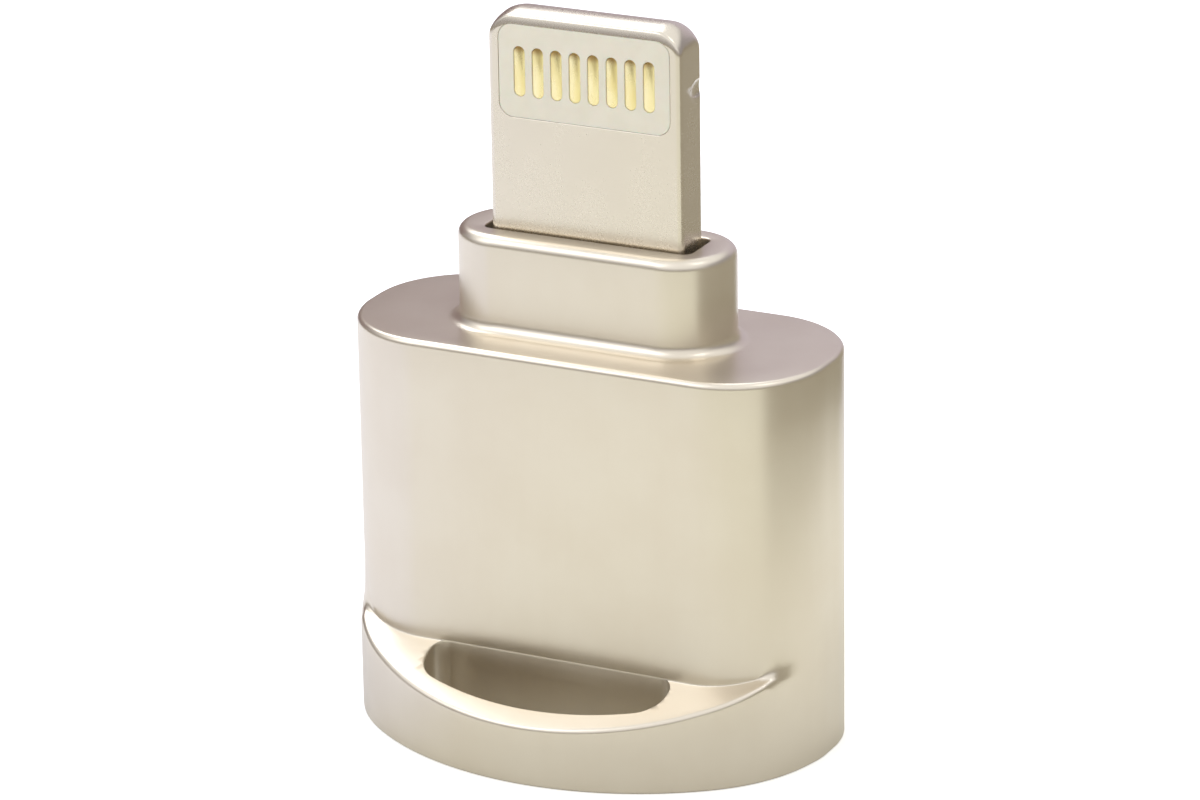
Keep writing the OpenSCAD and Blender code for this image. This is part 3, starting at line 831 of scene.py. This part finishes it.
# ---------------------------------------------------------------- card socket
# A moulded base, a folded sheet cover with two tongues that press on the card,
# eight sprung contacts and the strip that tells that a card is in.

shader, place = new_material("socket_plastic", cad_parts["socket_base"])
flow = place.noise(2, detail=4, stretch=(1, 1, 0.3))
feed(shader, "Base Color", flow.mix(linear(30, 30, 32), linear(48, 47, 48)))
feed(shader, "Roughness", flow * 0.2 + 0.45)

shader, place = new_material("socket_sheet_steel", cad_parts["socket_cover"], metallic=1.0)
rolled = place.noise(3, detail=4, stretch=(1, 1, 0.05))
feed(shader, "Base Color", rolled.mix(linear(188, 188, 186), linear(212, 212, 209)))
feed(shader, "Roughness", rolled * 0.2 + 0.2)
press(shader, rolled, 0.2, 0.000003)

for name in ("socket_contacts", "card_detect_spring"):
    shader, place = new_material(name + "_gilding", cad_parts[name], metallic=1.0)
    worn = place.noise(4, detail=3)
    gilding = worn.between(0.3, 0.7).mix(linear(232, 202, 120), linear(214, 180, 104))
    feed(shader, "Base Color", gilding)
    feed(shader, "Roughness", worn * 0.2 + 0.2)

# ---------------------------------------------------------------- sleeve
# A thin black moulding that keeps the boards off the metal, with ribs that
# hold the main board's edges. It is pushed in before the cap.

shader, place = new_material("sleeve_nylon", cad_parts["insulating_sleeve"])
texture = place.noise(6, detail=4)
feed(shader, "Base Color", texture.mix(linear(24, 24, 26), linear(40, 40, 42)))
feed(shader, "Roughness", texture * 0.2 + 0.5)
press(shader, texture, 0.3, 0.00001)

# ---------------------------------------------------------------- bottom cap
# The black moulded plug that closes the shell from below and guides the card
# through its slot. It is pressed into the sleeve and held by its tight fit.

CAP_W, CAP_D, CAP_CORNER, CAP_H = 14.14, 5.2, 2.29, 1.0
SPIGOT_W, SPIGOT_D, SPIGOT_CORNER, SPIGOT_TOP = 13.14, 4.2, 1.79, 1.8
CAP_EDGE, STEP_EDGE = 0.12, 0.04
CARD_SLOT_W, CARD_SLOT_D, CARD_SLOT_Y, MOUTH = 11.3, 1.0, 0.63, 0.1

mesh = bmesh.new()
flange = rounded_rectangle(CAP_W, CAP_D, CAP_CORNER, 24)
spigot = rounded_rectangle(SPIGOT_W, SPIGOT_D, SPIGOT_CORNER, 24)
lower_edge = bend((CAP_EDGE, 0), (0, 0), (0, CAP_EDGE), 5)
levels = [(sunk, grown(flange, -inset)) for inset, sunk in lower_edge]
levels += [(CAP_H - STEP_EDGE, flange), (CAP_H, grown(flange, -STEP_EDGE))]
levels += [(CAP_H, grown(spigot, STEP_EDGE)), (CAP_H + STEP_EDGE, spigot)]
levels += [(SPIGOT_TOP - 0.15, spigot), (SPIGOT_TOP, grown(spigot, -0.12))]
block(mesh, levels)
cap = make_piece("card_slot_cap", mesh)
mesh = bmesh.new()
mouth = rounded_rectangle(CARD_SLOT_W, CARD_SLOT_D, 0.12, 6, (0, CARD_SLOT_Y))
mouth_edge = bend((MOUTH, 0), (0, 0), (0, MOUTH), 5)
levels = [(-0.1, grown(mouth, MOUTH))]
levels += [(sunk, grown(mouth, out)) for out, sunk in mouth_edge]
levels += [(SPIGOT_TOP + 0.1, mouth)]
block(mesh, levels)
cut(cap, make_piece("card_slot", mesh))
smooth_again(cap, 35)
shader, place = new_material("cap_moulding", cap)
spark = place.noise(9, detail=4)
handled = place.noise(0.8, detail=3)
moulding = spark.between(0.3, 0.7).mix(linear(30, 30, 32), linear(44, 43, 45))
feed(shader, "Base Color", moulding)
feed(shader, "Roughness", spark * 0.15 + (handled * 0.15 + 0.35))
press(shader, spark, 0.5, 0.00001)
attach(cap, "root")
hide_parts("bottom_cap")

# ---------------------------------------------------------------- studio
# White paper in a bright room, with a key light in front and two small lights
# behind. Cards that only the metal mirrors give its back, its right end and
# the edges that face forward their shade.

FLOOR_GLOW, MIRRORED_GLOW = 0.6, 0.102


def plate(name, spot, aim, size, paint, show=False):
    """A flat card that stands round the object and isn't part of it."""
    mesh = bmesh.new()
    bmesh.ops.create_grid(mesh, x_segments=1, y_segments=1, size=0.5)
    data = bpy.data.meshes.new(name)
    bmesh.ops.scale(mesh, vec=(size[0], size[1], 1), verts=mesh.verts)
    mesh.to_mesh(data)
    mesh.free()
    card = bpy.data.objects.new(name, data)
    card.location = spot
    card.rotation_euler = (Vector(aim) - Vector(spot)).to_track_quat("Z", "Y").to_euler()
    bpy.context.scene.collection.objects.link(card)
    data.materials.append(paint)
    card.visible_camera = show
    return card


def paper_white(name):
    """Matt paper that glows a little, most of all for the camera."""
    material = bpy.data.materials.new(name)
    material.use_nodes = True
    tree = material.node_tree
    shader = tree.nodes["Principled BSDF"]
    shader.inputs["Roughness"].default_value = 1.0
    shader.inputs["Specular IOR Level"].default_value = 0.0
    shader.inputs["Emission Color"].default_value = (1, 1, 1, 1)
    path = Wire(tree)
    camera = path.add("LightPath", output="Is Camera Ray")
    glossy = path.add("LightPath", output="Is Glossy Ray")
    through = path.add("LightPath", output="Is Transmission Ray")
    seen = camera * FLOOR_GLOW + (glossy + through) * MIRRORED_GLOW
    feed(shader, "Emission Strength", seen)
    return material


floor = plate(
    "floor", (0, 0, 0), (0, 0, 1), (6, 6), paper_white("floor_white"), show=True
)
# The paper's tint runs from bluish to ivory, left to right, as the metal mirrors
# it, and close to the object it is darker: painted shade round the object's foot.
paper = floor.active_material.node_tree.nodes["Principled BSDF"]
spot = Wire(floor.active_material.node_tree).add("TexCoord", output=3)
along = {"operation": "DOT_PRODUCT"}
rightward = spot.add("VectorMath", along, {0: spot, 1: (-0.894, 0.448, 0)}, output=1)
away = spot.add("VectorMath", {"operation": "LENGTH"}, {0: spot}, output=1)
tint = rightward.between(-0.007, 0.001).mix((0.84, 0.84, 0.885, 1), (0.825, 0.815, 0.735, 1))
tint = rightward.between(0.012, 0.03).mix(tint, (0.79, 0.78, 0.66, 1))
# Painted shade: the paper near the object is darkened, standing in for its contact shadow.
painted_shade_tint = tint.add(
    "Mix",
    {"data_type": "RGBA", "blend_type": "MULTIPLY"},
    {0: 1.0, 6: tint, 7: (0.8, 0.8, 0.8, 1)},
    output=2,
)
feed(paper, "Base Color", away.between(0.007, 0.02).mix(painted_shade_tint, tint))


def glow(name, left, right, way=0):
    """A paint that glows evenly, from one colour to another along an axis."""
    material = bpy.data.materials.new(name)
    material.use_nodes = True
    tree = material.node_tree
    shader = tree.nodes["Principled BSDF"]
    shader.inputs["Base Color"].default_value = (0, 0, 0, 1)
    shader.inputs["Specular IOR Level"].default_value = 0.0
    across = Wire(tree).add("TexCoord", output=3)
    across = across.add("SeparateXYZ", {}, {"Vector": across}, output=way)
    feed(shader, "Emission Color", across.between(left[0], right[0]).mix(left[1], right[1]))
    shader.inputs["Emission Strength"].default_value = 1.0
    return material


back_card = plate(
    "back_card",
    (-0.05, 0.10, 0.045),
    (0, 0, 0.02),
    (0.26, 0.1),
    glow("back_card", (-0.03, (0.25, 0.18, 0.18, 1)), (0.03, (0.62, 0.56, 0.64, 1))),
)
# An upright card, bent round the right end.
END_CARD_R, END_CARD_H = 0.034, 0.022
mesh = bmesh.new()
turns = [radians(62 + 8 * i) for i in range(14)]
rows = [
    [(END_CARD_R * sin(a), -END_CARD_R * cos(a), z) for a in turns]
    for z in (0.0, END_CARD_H)
]
for low, high, after_low, after_high in zip(rows[0], rows[1], rows[0][1:], rows[1][1:]):
    mesh.faces.new([mesh.verts.new(p) for p in (low, after_low, after_high, high)])
data = bpy.data.meshes.new("end_card")
mesh.to_mesh(data)
mesh.free()
end_card = bpy.data.objects.new("end_card", data)
bpy.context.scene.collection.objects.link(end_card)
low, high = (0.002, (0.36, 0.33, 0.25, 1)), (0.007, (0.42, 0.385, 0.31, 1))
data.materials.append(glow("end_card", low, high, 2))
# A low brown strip far away all round, which upright edges pick up.
STRIP_R, STRIP_H = 0.3, 0.055
mesh = bmesh.new()
rim = set(bmesh.ops.create_circle(mesh, segments=96, radius=STRIP_R)["verts"])
bmesh.ops.extrude_edge_only(mesh, edges=mesh.edges[:])
raised = [v for v in mesh.verts if v not in rim]
bmesh.ops.translate(mesh, vec=(0, 0, STRIP_H), verts=raised)
data = bpy.data.meshes.new("far_strip")
mesh.to_mesh(data)
mesh.free()
far_strip = bpy.data.objects.new("far_strip", data)
bpy.context.scene.collection.objects.link(far_strip)
low, high = (0, (0.30, 0.26, 0.19, 1)), (0.05, (0.32, 0.28, 0.21, 1))
data.materials.append(glow("far_strip", low, high, 2))
for card in (back_card, end_card, far_strip):
    card.visible_camera = card.visible_shadow = card.visible_diffuse = False

world = bpy.data.worlds.new("room")
bpy.context.scene.world = world
world.use_nodes = True
room = world.node_tree
sky = Wire(room).add("TexCoord", output=0)
height = sky.add("SeparateXYZ", {}, {"Vector": sky}, output=2)
depth = sky.add("SeparateXYZ", {}, {"Vector": sky}, output=1)
# Low down the room is dull: higher up behind the object than in front of it.
front = depth.between(0.1, -0.4)
bright = front.mix(height.between(0.45, 0.7), height.between(0.16, 0.5))
tone = bright.mix((0.36, 0.34, 0.36, 1), (1.05, 1.05, 1.05, 1))
path = Wire(room).add("LightPath", output="Is Camera Ray")
background = room.nodes["Background"]
feed(background, "Color", path.mix(tone, (1.0, 1.0, 1.0, 1.0)))


def softbox(name, colour, radiance, spot, size):
    """A soft rectangular lamp, as bright as a mirror would show it."""
    lamp = bpy.data.lights.new(name, "AREA")
    lamp.shape, lamp.size, lamp.size_y = "RECTANGLE", size[0], size[1]
    lamp.energy, lamp.color = radiance * pi * size[0] * size[1], colour
    holder = bpy.data.objects.new(name, lamp)
    holder.location = spot
    aim = Vector((0, 0, 0.01)) - Vector(spot)
    holder.rotation_euler = aim.to_track_quat("-Z", "Y").to_euler()
    bpy.context.scene.collection.objects.link(holder)


softbox("key_light", (0.95, 0.985, 1.06), 1.15, (-0.15, -0.17, 0.27), (0.22, 0.16))
softbox("left_light", (0.9, 0.94, 1.0), 2.2, (-0.16, 0.15, 0.28), (0.21, 0.2))
softbox("right_spark", (1, 1, 1), 3.0, (0.16, -0.01, 0.32), (0.06, 0.06))

camera = bpy.data.objects.new("camera", bpy.data.cameras.new("camera"))
bpy.context.scene.collection.objects.link(camera)
bpy.context.scene.camera = camera
AZIMUTH, ELEVATION, ROLL, DISTANCE = radians(26.61), radians(19.81), radians(-0.90), 0.17202
TARGET = Vector((0.0000215, 0, 0.010640))
back = Vector(
    (sin(AZIMUTH) * cos(ELEVATION), -cos(AZIMUTH) * cos(ELEVATION), sin(ELEVATION))
)
camera.location = TARGET + back * DISTANCE
turn = (-back).to_track_quat("-Z", "Y")
camera.rotation_mode = "QUATERNION"
camera.rotation_quaternion = turn
camera.rotation_quaternion.rotate(Quaternion(back, ROLL))
SENSOR, FOCAL_PIXELS, PHOTO_PIXELS = 36, 5446.9, 1200
camera.data.sensor_width = SENSOR
camera.data.lens = SENSOR * FOCAL_PIXELS / PHOTO_PIXELS
camera.data.clip_start, camera.data.clip_end = 0.01, 20

view = bpy.context.scene.view_settings
view.view_transform = "Standard"
